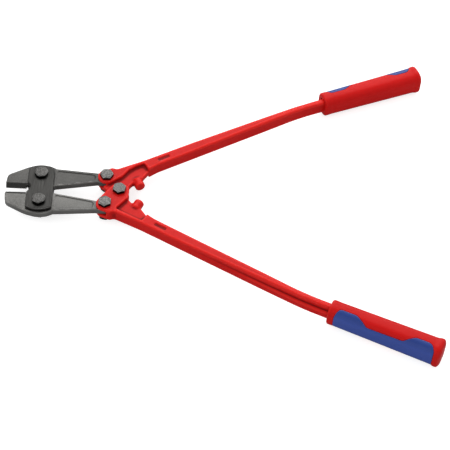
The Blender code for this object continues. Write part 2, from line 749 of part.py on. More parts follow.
def build():
    clear_scene()
    steel = material("forged_steel", (0.20, 0.20, 0.20), 0.45, 0.85)
    plate = material("strap_steel", (0.12, 0.12, 0.12), 0.45, 0.85)
    bolt_m = material("bolt_steel", (0.30, 0.31, 0.30), 0.4, 0.9)
    nut_m = material("black_fastener", (0.03, 0.03, 0.03), 0.45, 0.7)
    red_paint = material("red_paint", (0.62, 0.02, 0.02), 0.3, 0.0)
    red_grip = material("red_grip_plastic", (0.55, 0.02, 0.02), 0.45, 0.0)
    blue = material("blue_inlay_rubber", (0.04, 0.07, 0.30), 0.5, 0.0)

    root = empty("tool_frame", None, C, C)
    p_up, p_lo = P, Vector((P.x, -P.y))
    q_up, q_lo = Q, Vector((Q.x, -Q.y))
    jaw_up_ax = empty("upper_jaw_axis", root, p_up, C)
    jaw_lo_ax = empty("lower_jaw_axis", root, p_lo, C)
    han_up_ax = empty("upper_handle_axis", jaw_up_ax, q_up, p_up)
    han_lo_ax = empty("lower_handle_axis", jaw_lo_ax, q_lo, p_lo)

    pieces = []

    def add(em, xy, *obs):
        for ob in obs:
            ride(ob, em, xy)
            pieces.append(ob)

    fm = (bolt_m, nut_m)
    add(root, C, strap("top", plate), strap("bottom", plate))
    for tag, p, ph in (("upper_strap", p_up, 0.15), ("lower_strap", p_lo, 0.5)):
        add(root, C, *fastener_set(tag, p, STRAP_Z1, STRAP_HEAD_H,
                                   STRAP_BOLT_ACROSS_FLATS, ph, fm, 0.91))
    add(jaw_up_ax, p_up, jaw("upper", steel))
    add(jaw_lo_ax, p_lo, jaw("lower", steel))
    add(han_up_ax, q_up, handle("upper", red_paint), *grip("upper", red_grip, blue))
    add(han_lo_ax, q_lo, handle("lower", red_paint), *grip("lower", red_grip, blue))
    add(han_up_ax, q_up, *fastener_set("upper_fork", q_up, FORK_Z, PIVOT_HEAD_H,
                                       BOLT_ACROSS_FLATS, 0.03, fm))
    add(han_lo_ax, q_lo, *fastener_set("lower_fork", q_lo, FORK_Z, PIVOT_HEAD_H,
                                       BOLT_ACROSS_FLATS, 0.5, fm))
    add(han_lo_ax, q_lo, *fastener_set("centre", C, FORK_Z, CENTRE_HEAD_H,
                                       BOLT_ACROSS_FLATS, 0.35, fm))
    stand(root, pieces)


build()
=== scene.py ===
# %% [markdown]
# # Bolt cutters
# The tool lies on a table with its handles spread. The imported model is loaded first, as a frame that never
# moves: every size and place below is read from it, and each finer piece made here stands for one of its nodes.

# %% load the frame
import json
import math

import bmesh
import bpy
import numpy as np
from mathutils import Matrix, Vector


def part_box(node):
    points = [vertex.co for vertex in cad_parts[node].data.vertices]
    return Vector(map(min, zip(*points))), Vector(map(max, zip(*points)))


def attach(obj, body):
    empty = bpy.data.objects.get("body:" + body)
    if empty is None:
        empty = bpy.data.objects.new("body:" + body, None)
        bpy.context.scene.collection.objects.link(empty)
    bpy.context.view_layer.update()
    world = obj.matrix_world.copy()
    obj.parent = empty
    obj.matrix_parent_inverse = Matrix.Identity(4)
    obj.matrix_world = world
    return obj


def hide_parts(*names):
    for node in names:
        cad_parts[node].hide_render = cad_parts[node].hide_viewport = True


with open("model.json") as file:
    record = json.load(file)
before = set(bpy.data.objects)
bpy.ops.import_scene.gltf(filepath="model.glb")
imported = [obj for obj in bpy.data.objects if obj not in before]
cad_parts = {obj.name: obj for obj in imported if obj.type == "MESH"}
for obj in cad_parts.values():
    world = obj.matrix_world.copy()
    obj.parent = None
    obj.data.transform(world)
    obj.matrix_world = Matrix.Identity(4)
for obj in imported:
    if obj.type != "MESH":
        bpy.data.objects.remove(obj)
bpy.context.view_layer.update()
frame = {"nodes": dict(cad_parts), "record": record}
NODES = frame["nodes"]
MM = 0.001

# %% [markdown]
# ## Where things are
# The centre pivot is the middle of the whole linkage, so it is the point everything is measured from. The
# handles' own height gives the middle plane of the tool.

# %% the centre pivot
bolt_lo, bolt_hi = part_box("centre_bolt")
lever_lo, lever_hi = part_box("upper_handle")
PIVOT = Vector(((bolt_lo.x + bolt_hi.x) / 2, (bolt_lo.y + bolt_hi.y) / 2, (lever_lo.z + lever_hi.z) / 2))
print("centre pivot, mm", [round(v / MM, 2) for v in PIVOT])

# %% [markdown]
# ## Camera
# A long lens looks down at the tool from the front, fifty degrees above the table, and is rolled by a few
# degrees so that the tool sits level in the picture. The directions are built as three unit vectors, because
# a roll about the line of sight is easier to read that way than in Euler angles. The lens is long because a
# catalogue view shows almost no perspective: the far grip is nearly as large as the near one.

# %% camera
CAM_ELEVATION = 50.0
CAM_AZIMUTH = 2.42
CAM_ROLL = 4.086
CAM_DISTANCE = 2.0573
CAM_LENS = 126.22
SENSOR_WIDTH = 36.0
FARTHEST_SEEN = 20.0
AIM_OFFSET = Vector((0.1401, -0.0461, 0.0))


def camera_axes(azimuth, elevation, roll):
    """Right, up and forward unit vectors of the camera, from angles in degrees."""
    az, el, ro = (math.radians(v) for v in (azimuth, elevation, roll))
    forward = Vector((math.sin(az) * math.cos(el), math.cos(az) * math.cos(el), -math.sin(el)))
    right = Vector((math.cos(az), -math.sin(az), 0.0))
    up = right.cross(forward)
    return (right * math.cos(ro) + up * math.sin(ro), up * math.cos(ro) - right * math.sin(ro), forward)


right, up, forward = camera_axes(CAM_AZIMUTH, CAM_ELEVATION, CAM_ROLL)
cam_data = bpy.data.cameras.new("studio_camera")
cam_data.sensor_width = SENSOR_WIDTH
cam_data.lens = CAM_LENS
cam_data.clip_end = FARTHEST_SEEN
camera = bpy.data.objects.new("studio_camera", cam_data)
bpy.context.scene.collection.objects.link(camera)
pose = Matrix((right, up, -forward)).transposed().to_4x4()
pose.translation = PIVOT + AIM_OFFSET - forward * CAM_DISTANCE
camera.matrix_world = pose
bpy.context.scene.camera = camera
bpy.context.scene.view_settings.view_transform = "Standard"
print("camera at", [round(v, 3) for v in camera.location], "lens, mm", CAM_LENS)

# %% [markdown]
# ## Table and light
# Tools are lit for a catalogue by one very large soft box above and behind them. It is mirrored in the flat
# tops, which stay bright, while the walls that face the lens turn dark. Three weaker boxes, in front and at the
# sides, and an even grey sky keep those walls from going black.
#
# The table is nearly white. A truly white table would throw much light back under the tool, so it is a middle
# grey that also glows, and Light Path gives that glow to the lens only: the tool isn't lit by it.

# %% table and light sizes
WHITE = (1.0, 1.0, 1.0, 1.0)
TABLE_SIZE = 16.0
TABLE_COLOUR = (0.55, 0.55, 0.55, 1.0)
TABLE_ROUGHNESS = 0.9
TABLE_SHINE = 0.1
TABLE_GLOW = 0.74
SOFT_BOXES = [
    # name, place, size, power, aimed at
    ("back_box", (0.05, 1.30, 1.20), 1.9, 34.0, (0.0, 0.0, 0.0)),
    ("left_box", (-1.3, -0.3, 0.8), 1.1, 6.0, (-0.05, 0.0, 0.0)),
    ("front_box", (0.1, -1.7, 0.8), 1.4, 6.0, (0.0, 0.0, 0.0)),
    ("right_box", (1.4, 0.1, 0.9), 1.1, 3.5, (0.05, 0.0, 0.0)),
]
WORLD_GREY = 0.50
print("soft boxes, W", {soft_box[0]: soft_box[3] for soft_box in SOFT_BOXES})

# %% the table


def add_table():
    """A flat square under the tool, marked as stage so that it isn't part of the object."""
    half = TABLE_SIZE / 2
    mesh = bpy.data.meshes.new("table_top")
    mesh.from_pydata([(-half, -half, 0), (half, -half, 0), (half, half, 0), (-half, half, 0)], [], [(0, 1, 2, 3)])
    table = bpy.data.objects.new("table_top", mesh)
    bpy.context.scene.collection.objects.link(table)
    pale = bpy.data.materials.new("pale_table")
    pale.use_nodes = True
    tree = pale.node_tree
    shader = tree.nodes["Principled BSDF"]
    for socket, value in (("Base Color", TABLE_COLOUR), ("Roughness", TABLE_ROUGHNESS), ("Emission Color", WHITE),
                          ("Specular IOR Level", TABLE_SHINE)):
        shader.inputs[socket].default_value = value
    seen = tree.nodes.new("ShaderNodeLightPath").outputs["Is Camera Ray"]
    glow = tree.nodes.new("ShaderNodeMath")
    glow.operation = "MULTIPLY"
    glow.inputs[1].default_value = TABLE_GLOW
    tree.links.new(seen, glow.inputs[0])
    tree.links.new(glow.outputs[0], shader.inputs["Emission Strength"])
    mesh.materials.append(pale)
    return table


print("table, m", [round(v, 2) for v in add_table().dimensions])

# %% soft boxes and sky


def add_soft_box(name, place, size, power, aim):
    """A square area light, turned so that it shines at a point."""
    light = bpy.data.lights.new(name, "AREA")
    light.shape = "SQUARE"
    light.size = size
    light.energy = power
    box = bpy.data.objects.new(name, light)
    bpy.context.scene.collection.objects.link(box)
    box.location = place
    box.rotation_euler = (Vector(aim) - Vector(place)).to_track_quat("-Z", "Y").to_euler()


for soft_box in SOFT_BOXES:
    add_soft_box(*soft_box)
world = bpy.data.worlds.new("studio")
world.use_nodes = True
world.node_tree.nodes["Background"].inputs["Color"].default_value = WHITE
world.node_tree.nodes["Background"].inputs["Strength"].default_value = WORLD_GREY
bpy.context.scene.world = world

# %% [markdown]
# ## Small tools for building node trees
# Shader trees and Geometry Nodes trees are both lists of nodes and links. One helper makes a node and fills its
# inputs: a value is typed in, and a socket of another node is linked. That keeps each recipe readable.

# %% node helper


def grow(tree, kind, inputs=None, **settings):
    """Adds a node. `inputs` maps an input's name or number to a value or to another node's output."""
    made_node = tree.nodes.new(kind)
    for key, value in settings.items():
        setattr(made_node, key, value)
    for key, value in (inputs or {}).items():
        socket = made_node.inputs[key]
        if isinstance(value, bpy.types.NodeSocket):
            tree.links.new(value, socket)
        else:
            socket.default_value = value
    return made_node


def calc(tree, operation, *values, clamp=False):
    """One Math node, which adds, multiplies, compares and so on."""
    return grow(tree, "ShaderNodeMath", dict(enumerate(values)), operation=operation, use_clamp=clamp).outputs[0]


def blend(tree, factor, first, second):
    """One colour Mix node; 6 and 7 are its colour inputs."""
    return grow(tree, "ShaderNodeMix", {0: factor, 6: first, 7: second}, data_type="RGBA").outputs[2]


def spread_out(tree, value, low, high, to_low=0.0, to_high=1.0):
    """One Map Range node: low becomes to_low, high becomes to_high, and what lies outside is cut off."""
    return grow(tree, "ShaderNodeMapRange", {0: value, 1: low, 2: high, 3: to_low, 4: to_high}).outputs[0]


def noise(tree, where, scale, detail, roughness=0.5):
    """One Noise Texture node, read at the places that `where` gives."""
    return grow(tree, "ShaderNodeTexNoise", {"Vector": where, "Scale": scale, "Detail": detail,
                                             "Roughness": roughness}).outputs[0]


def new_group(kind, name, inputs, outputs):
    """An empty node group with named sockets; returns it with the sockets to build between."""
    group = bpy.data.node_groups.new(name, kind)
    for label, socket_kind, value in inputs:
        socket = group.interface.new_socket(label, in_out="INPUT", socket_type="NodeSocket" + socket_kind)
        if value is not None:
            socket.default_value = value
    for label, socket_kind in outputs:
        group.interface.new_socket(label, in_out="OUTPUT", socket_type="NodeSocket" + socket_kind)
    return group, group.nodes.new("NodeGroupInput").outputs, group.nodes.new("NodeGroupOutput").inputs


def labels_of(group, side):
    """The names of a group's inputs or outputs."""
    return [item.name for item in group.interface.items_tree if item.in_out == side]


print("node helpers ready")

# %% [markdown]
# ## Shared finish effects
# Paint, plastic and steel differ, but they age in the same ways: their tone drifts over a few centimetres, a
# fine speckle covers them and ridges get rubbed bright. Their hollows are made darker, partly dirt and partly
# painted shade. Each effect is one node group that gives masks only, and every material uses it with its own
# sizes. The ridges and hollows come from a number stored on each point of the mesh, called relief: above zero on
# a ridge, below zero in a hollow.

# %% tone group
tone_group, g_in, g_out = new_group("ShaderNodeTree", "tone_and_speckle",
                                    [("Drift Size", "Float", 18.0), ("Speckle Size", "Float", 900.0)],
                                    [("Drift", "Float"), ("Speckle", "Float"), ("Height", "Float")])
DRIFT_IN_HEIGHT = 0.25
here = grow(tone_group, "ShaderNodeTexCoord").outputs["Object"]
drift = noise(tone_group, here, g_in["Drift Size"], 4.0, 0.55)
speckle = noise(tone_group, here, g_in["Speckle Size"], 2.0, 0.6)
wide = spread_out(tone_group, drift, 0.3, 0.7)
fine = spread_out(tone_group, speckle, 0.32, 0.68)
tone_group.links.new(wide, g_out["Drift"])
tone_group.links.new(fine, g_out["Speckle"])
tone_group.links.new(calc(tone_group, "MULTIPLY_ADD", wide, DRIFT_IN_HEIGHT, fine), g_out["Height"])
print(tone_group.name, "gives", labels_of(tone_group, "OUTPUT"))

# %% edge and hollow group
relief_group, g_in, g_out = new_group("ShaderNodeTree", "rub_dirt_and_shade",
                                      [("Rub From", "Float", 0.25), ("Dirt From", "Float", 0.2),
                                       ("Breakup", "Float", 140.0)], [("Rub", "Float"), ("Dirt And Shade", "Float")])
BREAKUP_AMOUNT = 0.9
RUB_FADE = 0.5
DIRT_AND_SHADE_FADE = 0.8
relief = grow(relief_group, "ShaderNodeAttribute", attribute_name="relief").outputs["Fac"]
here = grow(relief_group, "ShaderNodeTexCoord").outputs["Object"]
patches = noise(relief_group, here, g_in["Breakup"], 5.0)
lowered = calc(relief_group, "SUBTRACT", relief, BREAKUP_AMOUNT / 2)
ridge = calc(relief_group, "MULTIPLY_ADD", patches, BREAKUP_AMOUNT, lowered)
full_rub = calc(relief_group, "ADD", g_in["Rub From"], RUB_FADE)
# The hollow mask darkens hollows: partly dirt, partly painted shade.
hollow = calc(relief_group, "MULTIPLY", relief, -1.0)
full_dirt_and_shade = calc(relief_group, "ADD", g_in["Dirt From"], DIRT_AND_SHADE_FADE)
relief_group.links.new(spread_out(relief_group, ridge, g_in["Rub From"], full_rub), g_out["Rub"])
relief_group.links.new(spread_out(relief_group, hollow, g_in["Dirt From"], full_dirt_and_shade), g_out["Dirt And Shade"])
print(relief_group.name, "gives", labels_of(relief_group, "OUTPUT"))

# %% [markdown]
# Two more masks paint light and shade onto a cut face and its walls. One reads how level the surface is: its normal in
# the object's own frame is (0, 0, 1) on a top and has no z part on a wall. The walls get a painted tone of their own:
# near black on the bolts, a painted dark reflection, and lighter than the top on the other steels and the rubber, a
# painted sheen. The cone that blunts a bolt's corners lies between the two, and gets a mask of its own, which paints a
# highlight on it. The brushed lines are noise drawn out along one direction, like the lines that a belt grinder leaves
# on the head plates.

# %% painted wall light and shade masks
# Painted light: this mask gives walls a tone of their own, lighter or darker than the tops, and the bolt chamfers a
# painted highlight.
wall_light_shade_group, g_in, g_out = new_group("ShaderNodeTree", "painted_wall_light_and_shade",
                                    [("Start", "Float", 0.55), ("End", "Float", 0.85)],
                                    [("Side", "Float"), ("Chamfer Highlight", "Float")])
CHAMFER_LEVEL = 0.86
CHAMFER_NEAR = 0.05
CHAMFER_FAR = 0.11
own_normal = grow(wall_light_shade_group, "ShaderNodeTexCoord").outputs["Normal"]
level = calc(wall_light_shade_group, "ABSOLUTE", grow(wall_light_shade_group, "ShaderNodeSeparateXYZ", {0: own_normal}).outputs[2])
off_chamfer = calc(wall_light_shade_group, "ABSOLUTE", calc(wall_light_shade_group, "SUBTRACT", level, CHAMFER_LEVEL))
wall_light_shade_group.links.new(spread_out(wall_light_shade_group, level, g_in["Start"], g_in["End"], 1.0, 0.0), g_out["Side"])
wall_light_shade_group.links.new(spread_out(wall_light_shade_group, off_chamfer, CHAMFER_NEAR, CHAMFER_FAR, 1.0, 0.0), g_out["Chamfer Highlight"])
print(wall_light_shade_group.name, "gives", labels_of(wall_light_shade_group, "OUTPUT"))

# %% brushed lines group
brush_group, g_in, g_out = new_group("ShaderNodeTree", "brushed_lines", [("Stretch", "Vector", (1.0, 1.0, 1.0))],
                                     [("Lines", "Float")])
here = grow(brush_group, "ShaderNodeTexCoord").outputs["Object"]
stretched = grow(brush_group, "ShaderNodeVectorMath", {0: here, 1: g_in["Stretch"]}, operation="MULTIPLY").outputs[0]
lines = noise(brush_group, stretched, 1.0, 3.0, 0.6)
brush_group.links.new(spread_out(brush_group, lines, 0.3, 0.7), g_out["Lines"])
print(brush_group.name, "gives", labels_of(brush_group, "OUTPUT"))

# %% [markdown]
# ## Finishes
# Each finish mixes two or three close colours with those masks, and lets the same masks drive roughness and a
# shallow bump. The constants, such as how metallic a steel is, sit on the shader's own sockets.

# %% finish maker
LINES_SHARE = 0.6
DIRT_ROUGHER = 0.15
RUB_SMOOTHER = -0.08


def masks_of(tree, group, inputs):
    """Puts an effect group into a material with its own values, and returns its outputs."""
    return grow(tree, "ShaderNodeGroup", inputs, node_tree=group).outputs


def finish(name, light, dark, roughness, metallic=0.0, specular=0.2, side=None, dirt_and_shade=None, rub=None, drift=22.0,
           speckle=900.0, speckle_mix=0.35, bump=0.02, lines=None, rough_spread=0.08, wall_light_shade_band=(0.55, 0.85),
           rub_from=0.3, dirt_and_shade_from=0.2, chamfer=None):
    """A Principled material: light and dark tones, then a painted wall tone, a painted chamfer highlight, a darker
    hollow colour (dirt and painted shade) and rubbed-edge colours if given.

    `drift` and `speckle` are the scales of the tones and `speckle_mix` the share of the finer one. `lines` draws
    the brushed lines out along x, y and z, and `bump` is the depth of the fine relief in millimetres.
    """
    material = bpy.data.materials.new(name)
    material.use_nodes = True
    tree = material.node_tree
    shader = tree.nodes["Principled BSDF"]
    tone = masks_of(tree, tone_group, {"Drift Size": drift, "Speckle Size": speckle})
    mixed = calc(tree, "MULTIPLY_ADD", tone["Speckle"], speckle_mix,
                 calc(tree, "MULTIPLY", tone["Drift"], 1.0 - speckle_mix), clamp=True)
    height = tone["Height"]
    if lines:
        brushed = masks_of(tree, brush_group, {"Stretch": lines})["Lines"]
        mixed = calc(tree, "MULTIPLY_ADD", brushed, LINES_SHARE,
                     calc(tree, "MULTIPLY", mixed, 1.0 - LINES_SHARE), clamp=True)
        height = calc(tree, "ADD", height, brushed)
    colour = blend(tree, mixed, light + (1,), dark + (1,))
    rough = calc(tree, "MULTIPLY_ADD", mixed, rough_spread, roughness - rough_spread / 2)
    # Painted light and shade: walls take the side colour, and bolt chamfers a painted highlight.
    if side:
        wall_light_shade_masks = masks_of(tree, wall_light_shade_group, {"Start": wall_light_shade_band[0], "End": wall_light_shade_band[1]})
        colour = blend(tree, wall_light_shade_masks["Side"], colour, side + (1,))
        # Bolt chamfers get a painted highlight.
        if chamfer:
            colour = blend(tree, wall_light_shade_masks["Chamfer Highlight"], colour, chamfer + (1,))
    worn = masks_of(tree, relief_group, {"Rub From": rub_from, "Dirt From": dirt_and_shade_from})
    # Hollows take a darker colour, partly dirt and partly painted shade.
    for mask, paint, rougher in (("Dirt And Shade", dirt_and_shade, DIRT_ROUGHER), ("Rub", rub, RUB_SMOOTHER)):
        if paint:
            colour = blend(tree, worn[mask], colour, paint + (1,))
            rough = calc(tree, "MULTIPLY_ADD", worn[mask], rougher, rough)
    bumped = grow(tree, "ShaderNodeBump", {"Strength": 1.0, "Distance": bump * MM, "Height": height}).outputs[0]
    tree.links.new(colour, shader.inputs["Base Color"])
    tree.links.new(rough, shader.inputs["Roughness"])
    tree.links.new(bumped, shader.inputs["Normal"])
    shader.inputs["Metallic"].default_value = metallic
    shader.inputs["Specular IOR Level"].default_value = specular
    return material


print("effects", [group.name for group in (tone_group, relief_group, wall_light_shade_group, brush_group)])

# %% [markdown]
# The steels are one recipe in three grades: forged and lightly ground for the jaws, brushed and darker for the
# head plates, and speckled for the bolts, with a painted highlight on their chamfers. A factor makes a copy of a
# grade lighter or darker: the upper jaw's copy is darker, a painted shade, and the lower jaw's lighter, a painted
# light; each body's bolts get a copy of their own.

# %% the steels


def scaled(colour, factor):
    """A colour made lighter or darker."""
    return tuple(round(c * factor, 4) for c in colour)


made = {}


def steel(name, factor, **settings):
    """One of the three steels, lighter or darker by a factor."""
    tones = [scaled(settings.pop(key), factor) for key in ("light", "dark")]
    made[name] = finish(name, *tones, settings.pop("roughness"), metallic=1.0, **settings)


# The side colours are painted wall tones: lighter than the tops on forged and plate steel (painted sheen), near black
# on bolts (painted dark reflection).
FORGED = dict(light=(0.165, 0.162, 0.155), dark=(0.078, 0.077, 0.073), roughness=0.34, side=(0.175, 0.173, 0.166),
              dirt_and_shade=(0.02, 0.019, 0.018), rub=(0.20, 0.196, 0.188), speckle=900.0, speckle_mix=0.6, bump=0.05,
              rough_spread=0.14)
PLATE = dict(light=(0.080, 0.079, 0.075), dark=(0.040, 0.039, 0.037), roughness=0.34, side=(0.150, 0.148, 0.143),
             dirt_and_shade=(0.012, 0.012, 0.012), rub=(0.09, 0.088, 0.085), lines=(900.0, 55.0, 55.0), bump=0.03,
             rough_spread=0.2)
BOLT = dict(light=(0.29, 0.285, 0.275), dark=(0.050, 0.049, 0.046), roughness=0.40, side=(0.009, 0.009, 0.009),
            dirt_and_shade=(0.03, 0.03, 0.028), rub=(0.42, 0.415, 0.40), speckle=800.0, speckle_mix=0.9, bump=0.06,
            wall_light_shade_band=(0.45, 0.7))
# The upper jaw's copy is darker as painted shade, the lower jaw's lighter as painted light.
for name, factor in (("forged_steel", 0.5), ("forged_steel_upper", 0.40), ("forged_steel_lower", 0.66)):
    steel(name, factor, **FORGED)
steel("strap_steel", 0.46, **PLATE)
# The chamfer colours are a painted highlight, brighter than the bolts' tops.
CHAMFER_HIGHLIGHT_TINT = (1.0, 0.985, 0.955)
for name, factor, grey in (("bolt_steel", 0.5, 0.30), ("head_plate_bolt_steel", 0.36, 0.13),
                           ("upper_lever_bolt_steel", 0.48, 0.26), ("lower_lever_bolt_steel", 0.54, 0.28)):
    steel(name, factor, chamfer=tuple(grey * tint for tint in CHAMFER_HIGHLIGHT_TINT), **BOLT)
print("steels", sorted(made))

# %% [markdown]
# The coloured finishes are not metallic and reflect little. The paint is darker in its hollows, partly dirt and
# partly painted shade. The blue rubber's walls are painted lighter than its top, a painted sheen.

# %% paint, plastic, rubber and black oxide
made["black_fastener"] = finish("black_fastener", (0.014, 0.014, 0.014), (0.006, 0.006, 0.006), 0.38, specular=0.35,
                                rub=(0.05, 0.05, 0.05), bump=0.02)
# The paint's darker hollow colour is partly dirt and partly painted shade.
made["red_paint"] = finish("red_paint", (0.595, 0.0092, 0.0072), (0.49, 0.0066, 0.0056), 0.34, specular=0.09,
                           dirt_and_shade=(0.20, 0.002, 0.002), dirt_and_shade_from=0.12, rub_from=0.8, rub=(0.66, 0.018, 0.014),
                           drift=30.0, speckle=420.0, bump=0.035, rough_spread=0.1)
made["red_grip_plastic"] = finish("red_grip_plastic", (0.565, 0.0078, 0.0072), (0.485, 0.0060, 0.0056), 0.42,
                                  specular=0.08, dirt_and_shade=(0.28, 0.003, 0.003), rub=(0.60, 0.014, 0.011), drift=26.0,
                                  speckle=1400.0, bump=0.03)
# Its side colour is a painted sheen: the rubber's walls are painted lighter than its top.
made["blue_inlay_rubber"] = finish("blue_inlay_rubber", (0.019, 0.050, 0.245), (0.011, 0.034, 0.185), 0.42,
                                   side=(0.034, 0.070, 0.320), wall_light_shade_band=(0.25, 0.85),
                                   specular=0.28, dirt_and_shade=(0.008, 0.014, 0.07), rub=(0.04, 0.08, 0.30), drift=30.0,
                                   speckle=1600.0, bump=0.03)
print("finishes", sorted(made))

# %% finishes on the nodes that stay
slot_of = {p["node"]: p["material_slot"] for p in frame["record"]["subparts"]}
for name, ob in NODES.items():
    ob.data.materials.clear()
    ob.data.materials.append(made[slot_of[name]])
print("nodes with a finish", len(NODES))

# %% [markdown]
# ## Forged pieces
# A drop forging has no sharp corners: every outer edge is rounded a little, and every inner corner has a
# generous fillet so that the metal can flow. Beveling each edge of a boolean-built solid by hand is fragile, so
# the solid is remeshed into small even squares instead, and relaxed. Corners that bulge get a few rounds of
# smoothing; hollow corners get many more, which gives the fillets.
#
# The frame's meshes are loose triangles and are never changed, so each piece starts from a welded copy.

# %% a welded copy of a node
WELD = 0.002 * MM


def tidied(mesh, weld, outwards=False):
    """Joins points that lie on each other and, if asked, turns every face outwards."""
    bm = bmesh.new()
    bm.from_mesh(mesh)
    bmesh.ops.remove_doubles(bm, verts=bm.verts, dist=weld)
    if outwards:
        bmesh.ops.recalc_face_normals(bm, faces=bm.faces)
    bm.to_mesh(mesh)
    bm.free()


def in_scene(name, mesh):
    """A new object at the origin that shows a mesh."""
    piece = bpy.data.objects.new(name, mesh)
    bpy.context.scene.collection.objects.link(piece)
    return piece


def welded_copy(node, name):
    """A new object with the node's mesh, its loose triangles joined."""
    mesh = NODES[node].data.copy()
    mesh.name = name
    tidied(mesh, WELD)
    return in_scene(name, mesh)


def baked(piece):
    """Turns a piece and its modifiers into a plain mesh with smooth shading."""
    graph = bpy.context.evaluated_depsgraph_get()
    mesh = bpy.data.meshes.new_from_object(piece.evaluated_get(graph))
    piece.modifiers.clear()
    piece.data = mesh
    mesh.polygons.foreach_set("use_smooth", [True] * len(mesh.polygons))
    return piece


print("triangles of one lever in the frame", len(NODES["upper_handle"].data.polygons))

# %% [markdown]
# Relaxing moves each point towards the mean of its neighbours. Blender has a modifier for it, but the same sum
# in numpy can be limited to any part of the surface by a mask, and tells how strongly the surface bends, which
# is where the mask comes from.

# %% relaxing with numpy
STEP = 0.5
RELIEF_STEP = 0.6
RELIEF_SIZE = 0.35 * MM
RELIEF_LIMIT = 2.0


class Skin:
    """A mesh's points and edges as arrays, with the mean of each point's neighbours."""

    def __init__(self, mesh):
        self.mesh = mesh
        self.count = len(mesh.vertices)
        self.points = np.empty(self.count * 3)
        mesh.vertices.foreach_get("co", self.points)
        self.points = self.points.reshape(-1, 3)
        ends = np.empty(len(mesh.edges) * 2, dtype=np.int64)
        mesh.edges.foreach_get("vertices", ends)
        self.a, self.b = ends.reshape(-1, 2).T
        self.degree = (np.bincount(self.a, minlength=self.count) + np.bincount(self.b, minlength=self.count))[:, None]

    def neighbours(self, values):
        """The mean of the neighbours' values, for each point."""
        cols = [np.bincount(self.a, values[self.b, k], self.count) + np.bincount(self.b, values[self.a, k], self.count)
                for k in range(values.shape[1])]
        return np.stack(cols, axis=1) / self.degree

    def write(self):
        """Puts the points back into the mesh."""
        self.mesh.vertices.foreach_set("co", self.points.ravel())
        self.mesh.update()

    def normals(self):
        """The mesh's own point normals, as they were at the last write."""
        out = np.empty(self.count * 3)
        self.mesh.vertices.foreach_get("normal", out)
        return out.reshape(-1, 3)

    def smooth(self, rounds, mask=1.0):
        """Moves points towards the mean of their neighbours, as far as the mask lets them."""
        for _ in range(rounds):
            self.points += STEP * mask * (self.neighbours(self.points) - self.points)

    def store_relief(self, reach):
        """Stores how far each point stands out of its softened surroundings, for the finishes to read."""
        soft = self.points.copy()
        for _ in range(reach):
            soft += RELIEF_STEP * (self.neighbours(soft) - soft)
        height = np.einsum("ij,ij->i", self.points - soft, self.normals())[:, None] / RELIEF_SIZE
        height = self.neighbours(height)
        layer = self.mesh.attributes.new("relief", "FLOAT", "POINT")
        layer.data.foreach_set("value", np.clip(height[:, 0], -RELIEF_LIMIT, RELIEF_LIMIT))


print("one step goes", STEP, "of the way to the neighbours' mean")

# %% [markdown]
# Two masks steer the relaxing. One finds the moulded edges of a plastic part by how much they bend, and leaves
# them crisp while the facets of its curves are smoothed away. The other finds the hollow corners of a forging,
# where the neighbours' mean lies outside the metal, and grows by a few points so that the fillet gets its width.

# %% masks for facets and fillets
CRISP_FROM = 0.03
CRISP_FADE = 0.03
HOLLOW_SIZE = 0.02 * MM
HOLLOW_GROWTH = 6


def relax_facets(skin, voxel, rounds):
    """Smooths the gentle curves only."""
    bend = np.linalg.norm(skin.neighbours(skin.points) - skin.points, axis=1)[:, None] / voxel
    crisp = np.clip((bend - CRISP_FROM) / CRISP_FADE, 0.0, 1.0)
    skin.smooth(rounds, 1.0 - np.maximum(crisp, skin.neighbours(crisp)))
    skin.write()


def relax_hollows(skin, rounds):
    """Smooths the hollow corners only, which makes fillets."""
    inward = np.einsum("ij,ij->i", skin.neighbours(skin.points) - skin.points, skin.normals()) / HOLLOW_SIZE
    mask = np.clip(inward, 0.0, 1.0)[:, None]
    for _ in range(HOLLOW_GROWTH):
        mask = np.maximum(mask, skin.neighbours(mask))
    skin.smooth(rounds, mask)
    skin.write()


print("a fillet reaches", HOLLOW_GROWTH, "points from its corner")

# %% [markdown]
# ## Marks pressed into a forging
# The relaxing would wash out a shallow stamped recess, so the recess is pressed in afterwards, as a die would
# do it: every point of the flat top inside a rounded rectangle goes down by the same small depth.

# %% pressing a recess


def eased(share):
    """A share from 0 to 1 with a gentle start and end."""
    return share * share * (3 - 2 * share)


def press_recess(skin, centre, along, half_length, half_width, corner, depth, soft, z_min):
    """Lowers the points above z_min inside a rounded rectangle, with a soft rim."""
    direction = np.array((math.cos(along), math.sin(along)))
    offset = skin.points[:, :2] - np.array(centre)
    s = np.abs(offset @ direction) - half_length + corner
    w = np.abs(offset @ np.array((-direction[1], direction[0]))) - half_width + corner
    outside = np.hypot(np.maximum(s, 0), np.maximum(w, 0)) + np.minimum(np.maximum(s, w), 0) - corner
    amount = eased(np.clip(-outside / soft, 0.0, 1.0)) * (skin.points[:, 2] > z_min)
    skin.points[:, 2] -= depth * amount
    print("recess presses", int((amount > 0).sum()), "points")


print("a soft rim goes down by", [round(eased(share), 2) for share in (0.25, 0.5, 0.75)], "of the depth")

# %% [markdown]
# Relaxing also takes a little off everything that bulges, and most off a long bar. The loss is given back by
# moving the surface out along its normals, by an amount that grows with the distance from the centre pivot.

# %% making up for what relaxing takes off
BAR_FILL = {"near": 80.0 * MM, "full": 235.0 * MM, "amount": 0.95 * MM}


def fill_out(skin, near, full, amount):
    """Moves points out along their normals, growing with their distance from the centre pivot."""
    away = np.hypot(skin.points[:, 0] - PIVOT.x, skin.points[:, 1] - PIVOT.y)
    share = np.clip((away - near) / (full - near), 0.0, 1.0)[:, None]
    skin.points += skin.normals() * amount * share
    print("filled out", int((share > 0).sum()), "points")


print("the bars' ends grow by, mm", BAR_FILL["amount"] / MM)

# %% [markdown]
# One function makes every forged, cut or moulded piece: remesh, relax, press its marks, and store the relief
# that its finish reads. What differs is how fine the squares are and how many rounds each step gets, so those
# are what the cells below choose. Each piece then takes the place of its node.

